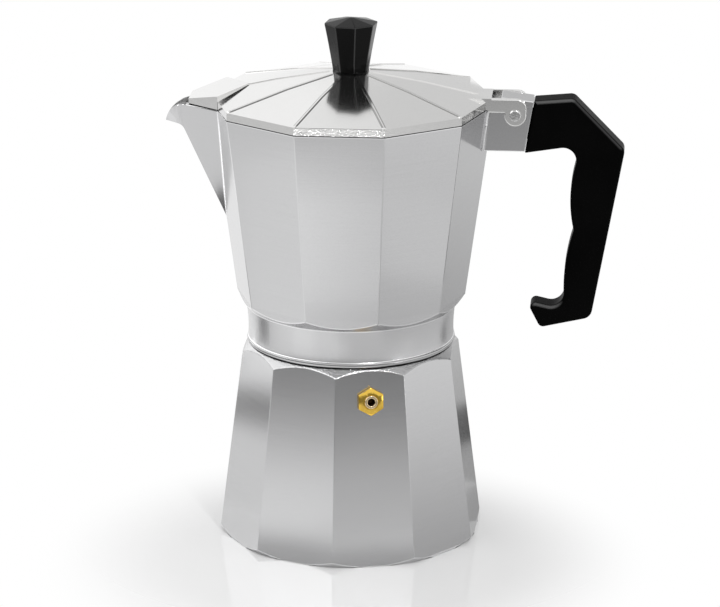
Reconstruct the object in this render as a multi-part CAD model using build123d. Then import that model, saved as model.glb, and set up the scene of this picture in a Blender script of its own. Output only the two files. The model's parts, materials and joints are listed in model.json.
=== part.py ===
from build123d import *
import os
from math import cos, pi, radians, sin, tan

# A ten-sided stove-top moka pot, in millimetres.
# The origin is on the table under the middle of the boiler, +X points to the handle and -X to the spout.
# A place on the spout, the bracket or the handle is a pair: how far out from the corner of the collector's
# rim and how far up from the rim.

# Both pots
sides = 10
upright_edge_round = 1.0
cut_past = 2.0  # how far a cut runs past what it opens

# Boiler
base_corner_radius = 54.2
base_ring_inset = 2.5  # from the corners in to the turned ring that the pot stands on
base_ring_slope = 22.0  # degrees that the foot rises from the ring to the corners
boiler_lean = 7.0  # degrees that each side leans inwards
boiler_bearing = -75.1  # degrees from +X to the side that holds the valve
ledge_height = 79.45
ledge_width = 5.2  # round the neck
boiler_wall = 3.0
boiler_floor = 4.0
boiler_floor_round = 5.0
neck_radius = 36.0
neck_wall = 4.8
neck_height = 9.4
neck_lead = 0.8  # chamfer at the start of the thread
ledge_wall = 3.6

# Safety valve
valve_drop = 12.7  # from the ledge down to the valve
valve_shank_radius = 4.0
valve_boss_radius = 7.5
valve_boss_depth = 2.5
valve_shank_stand_in = 1.5  # how far the shank passes the boss
washer_radius = 4.6
washer_thickness = 0.5
hex_across_flats = 9.9
hex_thickness = 1.9
hex_face_radius = 3.2  # flat middle of the hexagon's turned face
hex_face_drop = 0.8  # from the face's middle down to the corners
valve_bore = 2.65
valve_inlet_radius = 1.2
valve_seat_thickness = 1.4
bush_thickness = 1.8
bush_hole_radius = 1.5
bush_stand_out = 0.3
poppet_head_gap = 0.3  # round the head in the bore
poppet_head_thickness = 1.4
poppet_stem_radius = 1.0
poppet_stem_length = 3.0
seal_inset = 0.25  # from the head's edge in to the seal's
seal_thickness = 0.6
spring_bore_gap = 0.675  # from the bore in to the middle of the wire
spring_wire = 0.45
spring_turns = 5
spring_end_gap = 0.05

# Funnel
funnel_rim_overlap = 2.0  # on the top of the neck
funnel_rim_thickness = 0.9
funnel_wall = 0.8
funnel_clearance = 0.5
funnel_cup_depth = 24.0
sieve_ledge = 1.6
sieve_thickness = 0.8
funnel_cone_height = 10.0
stem_radius = 5.5
stem_end_gap = 4.0  # water way between the stem and the boiler's floor

# Perforations in the sieve and the filter plate
hole_radius = 0.8
hole_spacing = 5.6
hole_rings = 3
holes_per_ring = 6  # the first ring; each next ring has as many more

# Gasket and filter plate
gasket_lip = 0.2  # past the funnel's rim
gasket_width = 7.1
gasket_thickness = 3.1
plate_overlap = 1.7  # on the gasket
plate_thickness = 0.6
seat_clearance = 0.3

# Collector
skirt_gap = 0.4  # between the skirt and the boiler's ledge
skirt_wall = 5.0  # round the thread
lip_bulge = 1.0
lip_height = 2.0
waist_flare = 0.7
waist_height = 15.3
collector_height = 97.0  # from the skirt's lower edge to the rim
rim_growth = 2.4  # how far the rim's corners stand outside the foot's
collector_lean = 7.35  # degrees that each side leans outwards
collector_wall = 2.8
thread_clearance = 0.4
thread_relief = 1.6
dome_rise = 3.0
collector_floor_thickness = 2.4

# Coffee column
column_base_radius = 8.5
column_top_radius = 5.6
column_drop = 18.0  # from the rim down to its top
column_bore = 3.6
column_spigot_radius = 6.5
column_cap = 2.0
column_slot_width = 3.0
column_slot_height = 6.0
press_clearance = 0.02

# Spout
spout_tip = (17.4, -8.3)
spout_knee = (10.8, -10.2)
spout_knee_round = 4.0
spout_root_drop = 48.0  # from the rim down to where the keel leaves the corner
spout_start_depth = 4.1  # of the beak inside the corner at its root
spout_half_width = 16.6
spout_shoulder_inset = 5.4  # from the rim's corner in to the beak's widest place
spout_tip_half_width = 0.8
spout_inset = 2.2  # the inner beak is the outer one moved inwards and up
spout_lift = 3.0
mouth_start_out = 8.4
mouth_middle = (14.1, -2.4)

# Bracket for the hinge and the handle
bracket_width = 12.0
bracket_depth = 6.6  # inside the rim's corner
bracket_drop = 16.8  # from the rim down to its underside
bracket_seat_drop = 0.8
bracket_root_round = 1.6
hinge_block_front = (3.1, 5.1)
joint_top = (16.0, 3.6)
joint_bottom_out = 12.6
hinge_place = (8.8, -1.6)
pin_radius = 1.5
pin_head_radius = 2.3
pin_head_thickness = 0.9
running_clearance = 0.06

# Tongue that carries the handle
tongue_width = 6.0
tongue_length = 13.0
tongue_rise = 4.8  # above the bracket's underside
tongue_height = 11.0
tongue_clearance = 0.15
handle_screw_out = 9.3  # from the foot of the joint
handle_screw_radius = 1.75
handle_screw_head_radius = 3.4
handle_screw_head_thickness = 2.2
handle_screw_depth = 8.0

# Handle
handle_thickness = 11.6
handle_edge_round = 1.8
handle_gap = 0.2
handle_front_drop = 0.9  # the moulding stands this far below the bracket
handle_top_corner = (31.7, 5.0)
handle_outer_corner = (52.1, -15.7)
handle_heel = (39.9, -85.1)
handle_toe = (19.7, -89.7)
handle_hook = (13.7, -78.2)
handle_crook = (29.5, -81.8)
handle_notch = (32.4, -49.0)
handle_lower_grip = (29.5, -62.0)
handle_upper_grip = (30.9, -36.0)
handle_armpit = (35.5, -14.0)
handle_corner_round = 3.2
handle_heel_round = 4.2
handle_tip_round = 2.2
handle_crook_round = 5.2
handle_notch_round = 1.5

# Lid
lid_gap = 0.35
lid_corner_inset = 0.1  # inside the rim's corner
lid_skirt = 3.1
lid_rise = 9.45
lid_break_in = 26.5  # from the corner in to where the sides ease off
lid_break_rise = 5.85
lid_seat_margin = 1.4  # round the knob's foot
lid_sheet = 1.2
rib_width = 1.0
rib_rise = 0.3
cover_apex_in = 16.1  # from the lid's corner in to the cover's upper end
cover_wide_in = 5.2
cover_inset = 0.2  # inside the beak's sides
cover_end_out = 7.5
cover_end_half_width = 6.4
cover_slope = 8.8  # degrees down towards the spout's tip
cover_end_slope = 15.2  # from the cover's widest place on
cover_lift = 0.4
hinge_plate_length = 14.0
hinge_plate_rise = 4.65
hinge_slot = 3.7  # between the lid's plate and the hinge block
arm_thickness = 2.0
arm_clearance = 0.4
arm_drop = 0.7  # below the rim
arm_lobe_radius = 4.5
arm_back_round = 4.0
arm_edge_round = 0.6

# Knob
knob_sides = 8
knob_bearing = -76.0
knob_boss_radius = 5.5  # raised middle of the lid under the knob
knob_boss_height = 1.15
knob_foot_radius = 7.3
knob_waist_radius = 8.9
knob_rim_radius = 10.7
knob_waist_height = 9.5
knob_rim_height = 18.7
knob_crown = 2.2
knob_washer_radius = 5.0
knob_washer_thickness = 0.8
knob_screw_radius = 2.0
knob_screw_head_radius = 3.6
knob_screw_head_thickness = 2.4
knob_screw_length = 12.0
screw_clearance = 0.1

# Radii and heights that follow from the sizes above
half_side = 180 / sides
base_ring_radius = base_corner_radius - base_ring_inset
rim_corner_radius = base_corner_radius + rim_growth
ledge_radius = neck_radius + ledge_width
neck_bore = neck_radius - neck_wall
neck_top = ledge_height + neck_height
valve_height = ledge_height - valve_drop
poppet_head_radius = valve_bore - poppet_head_gap
seal_radius = poppet_head_radius - seal_inset
spring_radius = valve_bore - spring_bore_gap - spring_wire / 2
cup_radius = neck_bore - funnel_clearance
cup_inner = cup_radius - funnel_wall
funnel_rim_radius = neck_bore + funnel_rim_overlap
funnel_rim_top = neck_top + funnel_rim_thickness
cup_floor = funnel_rim_top - funnel_cup_depth
stem_bottom = boiler_floor + stem_end_gap
gasket_radius = funnel_rim_radius + gasket_lip
gasket_bore = gasket_radius - gasket_width
gasket_top = funnel_rim_top + gasket_thickness
plate_radius = gasket_bore + plate_overlap
plate_top = gasket_top + plate_thickness
skirt_bottom = ledge_height + skirt_gap
waist_top = skirt_bottom + waist_height
thread_radius = neck_radius + thread_clearance
waist_radius = thread_radius + skirt_wall
waist_top_radius = waist_radius + waist_flare
collector_floor = plate_top + dome_rise + collector_floor_thickness
rim_height = skirt_bottom + collector_height
column_top = rim_height - column_drop
bracket_bottom = rim_height - bracket_drop
tongue_low = bracket_bottom + tongue_rise
tongue_high = tongue_low + tongue_height
lid_bottom = rim_height + lid_gap
lid_shoulder = lid_bottom + lid_skirt
lid_seat = lid_shoulder + lid_rise
lid_break_height = lid_shoulder + lid_break_rise
knob_seat = lid_seat + knob_boss_height
lid_corner_radius = rim_corner_radius - lid_corner_inset
lid_seat_radius = knob_foot_radius + lid_seat_margin
lid_break_radius = lid_corner_radius - lid_break_in
arms_width = bracket_width + 2 * (arm_clearance + arm_thickness)
turning_radius = max(base_corner_radius, rim_corner_radius) + cut_past  # past every corner


def turned(*points):
    outline = Polyline(*[(radius, 0, height) for radius, height in points], close=True)
    return revolve(make_face(outline), Axis.Z)


def boiler_side(height):
    return base_corner_radius * cos(radians(half_side)) - height * tan(radians(boiler_lean))


def collector_corner(height):
    side = rim_corner_radius * cos(radians(half_side))
    side -= (rim_height - height) * tan(radians(collector_lean))
    return side / cos(radians(half_side))


def from_rim(place, way=1):
    # The X and Z of a place beyond the rim's corner, towards the handle or, with way -1, the spout
    return (way * (rim_corner_radius + place[0]), rim_height + place[1])


def decagon(corner_radius, height, bearing=0.0):
    return Pos(0, 0, height) * RegularPolygon(corner_radius, sides, rotation=bearing)


def upright_edges(solid):
    return [edge for edge in solid.edges() if abs((edge @ 1 - edge @ 0).Z) > edge.length / 2]


def valve_place():
    # Plane on the middle of the valve's side, with its normal along the valve
    reach = boiler_side(valve_height)
    bearing = radians(boiler_bearing)
    lean = radians(boiler_lean)
    outward = (cos(bearing) * cos(lean), sin(bearing) * cos(lean), sin(lean))
    seat = (reach * cos(bearing), reach * sin(bearing), valve_height)
    return Plane(origin=seat, x_dir=(-sin(bearing), cos(bearing), 0), z_dir=outward)


def rod(radius, start, end):
    return Pos(0, 0, start) * Cylinder(radius, end - start, align=(Align.CENTER, Align.CENTER, Align.MIN))


def ring(radius, bore, start, end):
    return rod(radius, start, end) - rod(bore, start, end)


valve = valve_place()
boss_depth = boiler_wall + valve_boss_depth
shank_end = -(boss_depth + valve_shank_stand_in)
hex_top = washer_thickness + hex_thickness
valve_seat = shank_end + valve_seat_thickness
bush_top = hex_top + bush_stand_out
bush_bottom = bush_top - bush_thickness
seal_top = valve_seat + seal_thickness
poppet_head_top = seal_top + poppet_head_thickness


def make_boiler():
    # Ten leaning sides, turned round at the foot and at the shoulder
    foot = decagon(base_corner_radius, 0, boiler_bearing + half_side)
    body = extrude(foot, ledge_height, taper=boiler_lean)
    body = fillet(upright_edges(body), upright_edge_round)
    body &= turned(
        (0, 0),
        (base_ring_radius, 0),
        (turning_radius, (turning_radius - base_ring_radius) * tan(radians(base_ring_slope))),
        (turning_radius, ledge_height + ledge_radius - turning_radius),
        (ledge_radius, ledge_height),
        (0, ledge_height),
    )
    body += turned(
        (0, boiler_floor),
        (neck_radius, boiler_floor),
        (neck_radius, neck_top - neck_lead),
        (neck_radius - neck_lead, neck_top),
        (0, neck_top),
    )
    low_radius = boiler_side(boiler_floor) - boiler_wall
    lean = tan(radians(boiler_lean))
    slope_sum = neck_radius + ledge_height - ledge_wall  # radius plus height along the inner shoulder
    shoulder_height = (slope_sum - low_radius - boiler_floor * lean) / (1 - lean)
    cavity = turned(
        (0, boiler_floor),
        (low_radius, boiler_floor),
        (slope_sum - shoulder_height, shoulder_height),
        (neck_bore, slope_sum - neck_bore),
        (neck_bore, neck_top),
        (0, neck_top),
    )
    floor_edge = cavity.edges().group_by(Axis.Z)[0]
    body -= fillet(floor_edge, boiler_floor_round)
    body += valve * rod(valve_boss_radius, -boss_depth, -boiler_wall / 2)
    body -= valve * rod(valve_shank_radius + press_clearance, shank_end, hex_top)
    return body


def make_valve_body():
    corner = hex_across_flats / 2 / cos(radians(30))
    head = extrude(Pos(0, 0, washer_thickness) * RegularPolygon(corner, 6, rotation=90), hex_thickness)
    head &= turned(
        (0, washer_thickness),
        (corner, washer_thickness),
        (corner, hex_top - hex_face_drop),
        (hex_face_radius, hex_top),
        (0, hex_top),
    )
    body = head + rod(valve_shank_radius, shank_end, hex_top - hex_face_drop)
    body -= rod(valve_bore, valve_seat, hex_top)
    body -= rod(valve_inlet_radius, shank_end, valve_seat)
    return valve * body


def make_valve_poppet():
    head = rod(poppet_head_radius, seal_top, poppet_head_top)
    stem = rod(poppet_stem_radius, seal_top, poppet_head_top + poppet_stem_length)
    return valve * (head + stem)


def make_valve_spring():
    # One wire bent in rising half turns between the piston's head and the bush
    low = poppet_head_top + spring_wire / 2 + spring_end_gap
    high = bush_bottom - spring_wire / 2 - spring_end_gap
    half_turns = 2 * spring_turns

    def along(turn):
        rise = (high - low) * turn / half_turns
        return (spring_radius * cos(pi * turn), spring_radius * sin(pi * turn), low + rise)

    arcs = [ThreePointArc(along(turn), along(turn + 0.5), along(turn + 1)) for turn in range(half_turns)]
    coil = Wire(arcs)
    section = Plane(origin=coil @ 0, z_dir=coil % 0) * Circle(spring_wire / 2)
    return valve * sweep(section, path=coil)


def perforations(thickness):
    drill = Cylinder(hole_radius, thickness + cut_past)
    drills = [drill]
    for step in range(1, hole_rings + 1):
        drills += [place * drill for place in PolarLocations(step * hole_spacing, step * holes_per_ring)]
    return drills


def make_funnel():
    neck_cone = cup_floor - funnel_cone_height
    return turned(
        (funnel_rim_radius, neck_top),
        (funnel_rim_radius, funnel_rim_top),
        (cup_inner, funnel_rim_top),
        (cup_inner, cup_floor),
        (cup_inner - sieve_ledge, cup_floor),
        (stem_radius - funnel_wall, neck_cone),
        (stem_radius - funnel_wall, stem_bottom),
        (stem_radius, stem_bottom),
        (stem_radius, neck_cone - funnel_wall),
        (cup_radius, cup_floor - funnel_wall),
        (cup_radius, neck_top),
    )


def make_funnel_sieve():
    disc = Cylinder(cup_inner - press_clearance, sieve_thickness) - perforations(sieve_thickness)
    return Pos(0, 0, cup_floor + sieve_thickness / 2) * disc


def make_filter_plate():
    disc = Cylinder(plate_radius, plate_thickness) - perforations(plate_thickness)
    return Pos(0, 0, gasket_top + plate_thickness / 2) * disc


def upright_plate(outline, thickness):
    # A plate in the plane of the spout and the handle, thick along Y
    return extrude(outline, thickness / 2, both=True, dir=(0, 1, 0))


def side_face(*points):
    return make_face(Polyline(*[(x, 0, z) for x, z in points], close=True))


def across(radius, place, length):
    return Pos(place[0], 0, place[1]) * Rot(90, 0, 0) * Cylinder(radius, length)


def keel_points():
    # Points along the lower edge of the beak, from inside the wall to the tip
    root_height = rim_height - spout_root_drop
    root_x = -collector_corner(root_height)
    knee = from_rim(spout_knee, -1)
    tip = from_rim(spout_tip, -1)
    slope = (knee[1] - root_height) / (knee[0] - root_x)
    start = (root_x + spout_start_depth, root_height + slope * spout_start_depth)
    keel = FilletPolyline(*[(x, 0, z) for x, z in (start, knee, tip)], radius=spout_knee_round)
    straight, bend, lip = keel.edges().sort_by(Axis.X, reverse=True)
    along = [bend.position_at(share / 4) for share in range(5)]
    along.sort(key=lambda point: -point.X)
    return [straight @ 0] + along + [Vector(tip[0], 0, tip[1])]


def make_beak():
    # Three-sided sections that narrow along the keel
    tip_x = from_rim(spout_tip, -1)[0]
    shoulder_x = spout_shoulder_inset - rim_corner_radius
    narrowing = (spout_half_width - spout_tip_half_width) / (shoulder_x - tip_x)
    sections = []
    for point in keel_points():
        half_width = spout_tip_half_width + narrowing * (point.X - tip_x)
        corners = [(point.X, 0, point.Z)]
        corners += [(point.X, side * half_width, rim_height) for side in (1, -1)]
        sections.append(make_face(Polyline(*corners, close=True)))
    return loft(sections, ruled=True)


def make_mouth_cut():
    # Round fall of the beak's rim from the lid's cover to the tip
    tip_x, tip_z = from_rim(spout_tip, -1)
    start_x = -(rim_corner_radius + mouth_start_out)
    middle_x, middle_z = from_rim(mouth_middle, -1)
    rim_edge = ThreePointArc((start_x, 0, rim_height), (middle_x, 0, middle_z), (tip_x, 0, tip_z))
    outside = Polyline(
        (tip_x, 0, tip_z),
        (tip_x - cut_past, 0, tip_z),
        (tip_x - cut_past, 0, rim_height),
        (start_x, 0, rim_height),
    )
    return upright_plate(make_face([rim_edge, outside]), 2 * spout_half_width)


def joint_x(height, gap=0.0):
    # The slanting face where the handle meets the bracket
    top = from_rim(joint_top)
    bottom = from_rim((joint_bottom_out, -bracket_drop))
    return bottom[0] + (top[0] - bottom[0]) * (height - bottom[1]) / (top[1] - bottom[1]) + gap


def make_tongue(clearance):
    low = tongue_low - clearance
    high = tongue_high + clearance
    inside = from_rim(hinge_place)[0]
    outline = side_face(
        (inside, low),
        (joint_x(tongue_low) + tongue_length + clearance, low),
        (joint_x(tongue_high) + tongue_length + clearance, high),
        (inside, high),
    )
    return upright_plate(outline, tongue_width + 2 * clearance)


def make_bracket():
    front = rim_corner_radius - bracket_depth
    block_x, block_height = from_rim(hinge_block_front)
    seat = rim_height - bracket_seat_drop
    outline = side_face(
        (front, bracket_bottom),
        (joint_x(bracket_bottom), bracket_bottom),
        from_rim(joint_top),
        (block_x, block_height),
        (block_x, seat),
        (front, seat),
    )
    return upright_plate(outline, bracket_width)


def make_waist():
    lip_top = skirt_bottom + lip_height
    lip_middle = skirt_bottom + lip_height / 2
    waist_middle = (lip_top + waist_top) / 2
    lip = ThreePointArc(
        (waist_radius, 0, skirt_bottom),
        (waist_radius + lip_bulge, 0, lip_middle),
        (waist_radius, 0, lip_top),
    )
    hollow = ThreePointArc(
        (waist_radius, 0, lip_top), (waist_radius, 0, waist_middle), (waist_top_radius, 0, waist_top)
    )
    closing = Polyline(
        (waist_top_radius, 0, waist_top),
        (0, 0, waist_top),
        (0, 0, skirt_bottom),
        (waist_radius, 0, skirt_bottom),
    )
    return revolve(make_face([lip, hollow, closing]), Axis.Z)


def with_bracket(body):
    # Fuses the bracket to the sides and rounds the two inner corners that run down them
    bracket = make_bracket()
    joined = body + bracket
    corners = [edge for edge in new_edges(body, bracket, combined=joined) if edge in upright_edges(joined)]
    return fillet(corners, bracket_root_round)


def make_collector():
    # Ten sides that lean outwards, cut by a cone above the turned waist
    foot = decagon(collector_corner(waist_top), waist_top)
    body = extrude(foot, rim_height - waist_top, taper=-collector_lean)
    body = fillet(upright_edges(body), upright_edge_round)
    body &= turned(
        (0, waist_top),
        (waist_top_radius, waist_top),
        (turning_radius, waist_top + turning_radius - waist_top_radius),
        (turning_radius, rim_height),
        (0, rim_height),
    )
    beak = make_beak()
    body = with_bracket(body)
    body += beak - make_mouth_cut()
    body += make_waist()
    body += make_tongue(0)

    inner_wall = collector_wall / cos(radians(half_side))
    chamber_low = decagon(collector_corner(collector_floor) - inner_wall, collector_floor)
    chamber = extrude(chamber_low, rim_height - collector_floor, taper=-collector_lean)
    cone_wall = collector_wall / cos(radians(45))
    cone_low = waist_top_radius + collector_floor - waist_top - cone_wall
    body -= chamber & turned(
        (0, collector_floor),
        (cone_low, collector_floor),
        (turning_radius, collector_floor + turning_radius - cone_low),
        (turning_radius, rim_height),
        (0, rim_height),
    )
    body -= Pos(spout_inset, 0, spout_lift) * beak

    pocket_radius = gasket_radius + seat_clearance
    plate_seat = plate_radius + seat_clearance
    body -= turned(
        (0, skirt_bottom),
        (thread_radius, skirt_bottom),
        (thread_radius, neck_top + thread_relief),
        (pocket_radius, neck_top + thread_relief),
        (pocket_radius, gasket_top),
        (plate_seat, gasket_top),
        (plate_seat, plate_top),
        (gasket_bore, plate_top),
        (column_spigot_radius, plate_top + dome_rise),
        (0, plate_top + dome_rise),
    )
    body -= rod(column_spigot_radius + press_clearance, plate_top, collector_floor)
    body -= across(pin_radius + press_clearance, from_rim(hinge_place), bracket_width + cut_past)
    body -= screw_place() * rod(
        handle_screw_radius + press_clearance, tongue_low, tongue_low + handle_screw_depth + press_clearance
    )
    return body


def make_coffee_column():
    outer = turned(
        (0, plate_top + dome_rise),
        (column_spigot_radius, plate_top + dome_rise),
        (column_spigot_radius, collector_floor),
        (column_base_radius, collector_floor),
        (column_top_radius, column_top - column_cap),
        (column_top_radius - column_cap, column_top),
        (0, column_top),
    )
    slot_low = column_top - column_cap - column_slot_height
    slot = Pos(0, 0, slot_low) * Box(
        column_slot_width,
        2 * column_base_radius,
        column_slot_height,
        align=(Align.CENTER, Align.CENTER, Align.MIN),
    )
    return outer - rod(column_bore, plate_top, column_top - column_cap) - slot


def handle_front():
    height = bracket_bottom - handle_front_drop
    return (joint_x(height, handle_gap), height)


def handle_outline():
    top_height = from_rim(joint_top)[1]
    corners = [from_rim(place) for place in (
        handle_crook,
        handle_hook,
        handle_toe,
        handle_heel,
        handle_outer_corner,
        handle_top_corner,
    )]
    corners += [(joint_x(top_height, handle_gap), top_height), handle_front(), from_rim(handle_armpit)]
    outer = Polyline(*[(x, 0, z) for x, z in corners])
    notch, upper, lower = [
        Vector(x, 0, z) for x, z in map(from_rim, (handle_notch, handle_upper_grip, handle_lower_grip))
    ]
    grip = [ThreePointArc(outer @ 1, upper, notch), ThreePointArc(notch, lower, outer @ 0)]
    return make_face([outer] + grip)


def corner_near(face, point):
    return face.vertices().sort_by_distance(Vector(point[0], 0, point[1]))[0]


def make_handle():
    outline = handle_outline()
    for place, radius in (
        (handle_crook, handle_crook_round),
        (handle_armpit, handle_crook_round),
        (handle_notch, handle_notch_round),
        (handle_hook, handle_tip_round),
        (handle_toe, handle_tip_round),
        (handle_heel, handle_heel_round),
        (handle_outer_corner, handle_corner_round),
        (handle_top_corner, handle_corner_round),
    ):
        outline = fillet(corner_near(outline, from_rim(place)), radius)
    body = upright_plate(outline, handle_thickness)
    near_face = body.faces().sort_by(Axis.Y)[0]
    far_face = body.faces().sort_by(Axis.Y)[-1]
    body = fillet(near_face.edges() + far_face.edges(), handle_edge_round)
    body -= make_tongue(tongue_clearance)
    head_low = screw_head_low()
    head_top = head_low + handle_screw_head_thickness
    body -= screw_place() * rod(handle_screw_head_radius + screw_clearance, head_low - cut_past, head_top)
    return body - screw_place() * rod(handle_screw_radius + screw_clearance, head_low, tongue_low)


def screw_place():
    return Pos(joint_x(bracket_bottom) + handle_screw_out, 0, 0)


def screw_head_low():
    # The handle's underside above the middle of the screw
    front = handle_front()
    armpit = from_rim(handle_armpit)
    slope = (armpit[1] - front[1]) / (armpit[0] - front[0])
    return front[1] + slope * (screw_place().position.X - front[0])


def make_handle_screw():
    head_low = screw_head_low()
    head_top = head_low + handle_screw_head_thickness
    screw = rod(handle_screw_head_radius, head_low, head_top)
    screw += rod(handle_screw_radius, head_top, tongue_low + handle_screw_depth)
    return screw_place() * screw


def make_hinge_pin():
    length = arms_width + 2 * running_clearance
    pin = across(pin_radius, from_rim(hinge_place), length)
    for side in (-1, 1):
        head = across(pin_head_radius, from_rim(hinge_place), pin_head_thickness)
        pin += Pos(0, side * (length + pin_head_thickness) / 2, 0) * head
    return pin


def hip_height(radius):
    if radius > lid_break_radius:
        return lid_shoulder + lid_break_rise * (lid_corner_radius - radius) / lid_break_in
    share = (lid_break_radius - radius) / (lid_break_radius - lid_seat_radius)
    return lid_break_height + (lid_seat - lid_break_height) * share


def lid_form(inset):
    # The pyramid with its skirt, its spout cover and its hinge plate, drawn in by the sheet's thickness
    corner_inset = inset / cos(radians(half_side))
    form = extrude(decagon(lid_corner_radius - corner_inset, lid_bottom), lid_skirt - inset)
    rings = [
        decagon(radius - corner_inset, hip_height(radius) - inset)
        for radius in (lid_corner_radius, lid_break_radius, lid_seat_radius)
    ]
    form += loft(rings, ruled=True)
    apex = lid_corner_radius - cover_apex_in
    wide_x = cover_wide_in - lid_corner_radius
    end_x = -(lid_corner_radius + cover_end_out)
    half_width = spout_half_width - cover_inset
    kite = make_face(Polyline(
        (-apex, 0),
        (wide_x, half_width),
        (end_x, cover_end_half_width),
        (end_x, -cover_end_half_width),
        (wide_x, -half_width),
        close=True,
    ))
    if inset:
        kite = offset(kite, -inset, kind=Kind.INTERSECTION)
    cover = extrude(Pos(0, 0, lid_bottom) * kite, lid_rise)
    ridge_height = hip_height(apex) + cover_lift - inset
    wide_height = ridge_height - (-apex - wide_x) * tan(radians(cover_slope))
    for x, height, slope in ((-apex, ridge_height, cover_slope), (wide_x, wide_height, cover_end_slope)):
        tilt = radians(slope)
        cover = split(cover, Plane(origin=(x, 0, height), z_dir=(-sin(tilt), 0, cos(tilt))), keep=Keep.BOTTOM)
    form += cover
    plate = Pos(plate_end_x() - inset, 0, lid_bottom) * Box(
        hinge_plate_length - inset,
        arms_width - 2 * inset,
        hinge_plate_rise - inset,
        align=(Align.MAX, Align.CENTER, Align.MIN),
    )
    return form + plate


def plate_end_x():
    return from_rim(hinge_block_front)[0] - hinge_slot


def make_ribs():
    # A low rib along each hip; the one over the spout ends just under the cover
    ribs = []
    for turn in range(sides):
        bearing = 360 * turn / sides
        end = lid_corner_radius - (cover_apex_in - rib_width if bearing == 180 else rib_width / 2)
        ridge = [(radius, hip_height(radius)) for radius in (lid_seat_radius, lid_break_radius, end)]
        outline = side_face(
            *[(radius, height + rib_rise) for radius, height in ridge],
            *[(radius, height - lid_sheet / 2) for radius, height in reversed(ridge)],
        )
        ribs.append(Rot(0, 0, bearing) * upright_plate(outline, rib_width))
    return ribs


def make_arms():
    # Two arms beside the bracket, each with a round lobe on the pin
    start_x = plate_end_x() - lid_sheet
    hinge_x, hinge_height = from_rim(hinge_place)
    low = rim_height - arm_drop
    back = (hinge_x + arm_lobe_radius, lid_bottom + hinge_plate_rise)
    outline = side_face((start_x, low), (hinge_x, low), (back[0], hinge_height), back, (start_x, back[1]))
    outline = fillet(corner_near(outline, back), arm_back_round)
    lobe = across(arm_lobe_radius, (hinge_x, hinge_height), arm_thickness)
    arm = upright_plate(outline, arm_thickness) + lobe
    outer_edges = arm.faces().sort_by(Axis.Y)[0].edges()
    arm = fillet(outer_edges.sort_by(Axis.X)[1:], arm_edge_round)
    near = Pos(0, (arm_thickness - arms_width) / 2, 0) * arm
    return [near, mirror(near, Plane.XZ)]


def make_lid():
    body = lid_form(0) - lid_form(lid_sheet)
    between_arms = bracket_width + 2 * arm_clearance
    notch = Pos(plate_end_x() - 2 * lid_sheet, 0, lid_bottom) * Box(
        lid_corner_radius,
        between_arms,
        hinge_plate_rise - lid_sheet,
        align=(Align.MIN, Align.CENTER, Align.MIN),
    )
    behind = Pos(plate_end_x(), 0, lid_bottom) * Box(
        lid_corner_radius, between_arms, lid_rise, align=(Align.MIN, Align.CENTER, Align.MIN)
    )
    body = body - notch - behind + make_arms() + make_ribs()
    body -= across(pin_radius + running_clearance, from_rim(hinge_place), arms_width + cut_past)
    body += rod(knob_boss_radius, lid_seat - lid_sheet / 2, knob_seat)
    return body - rod(knob_screw_radius + screw_clearance, lid_seat - lid_sheet - cut_past, knob_seat)


def octagon(corner_radius, height):
    return Pos(0, 0, height) * RegularPolygon(corner_radius, knob_sides, rotation=knob_bearing)


def make_knob():
    rim = knob_seat + knob_rim_height
    stem = loft([
        octagon(knob_foot_radius, knob_seat),
        octagon(knob_waist_radius, knob_seat + knob_waist_height),
        octagon(knob_rim_radius, rim),
    ])
    crown = loft([octagon(knob_rim_radius, rim).face(), Vertex(0, 0, rim + knob_crown)])
    return stem + crown - rod(knob_screw_radius + press_clearance, knob_seat, knob_seat + knob_screw_length)


def make_knob_screw():
    under = lid_seat - lid_sheet - knob_washer_thickness
    screw = rod(knob_screw_head_radius, under - knob_screw_head_thickness, under)
    return screw + rod(knob_screw_radius, under, knob_seat + knob_screw_length)


def make_knob_washer():
    under = lid_seat - lid_sheet
    return ring(knob_washer_radius, knob_screw_radius + screw_clearance, under - knob_washer_thickness, under)


pieces = {
    "boiler": make_boiler(),
    "valve_washer": valve * ring(washer_radius, valve_shank_radius + screw_clearance, 0, washer_thickness),
    "valve_body": make_valve_body(),
    "valve_bush": valve * ring(valve_bore - press_clearance, bush_hole_radius, bush_bottom, bush_top),
    "valve_seal": valve * rod(seal_radius, valve_seat, seal_top),
    "valve_poppet": make_valve_poppet(),
    "valve_spring": make_valve_spring(),
    "funnel": make_funnel(),
    "funnel_sieve": make_funnel_sieve(),
    "gasket": ring(gasket_radius, gasket_bore, funnel_rim_top, gasket_top),
    "filter_plate": make_filter_plate(),
    "collector": make_collector(),
    "coffee_column": make_coffee_column(),
    "handle": make_handle(),
    "handle_screw": make_handle_screw(),
    "hinge_pin": make_hinge_pin(),
    "lid": make_lid(),
    "knob": make_knob(),
    "knob_washer": make_knob_washer(),
    "knob_screw": make_knob_screw(),
}

os.makedirs("parts", exist_ok=True)
for name, shape in pieces.items():
    export_step(shape, f"parts/{name}.step")
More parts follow.
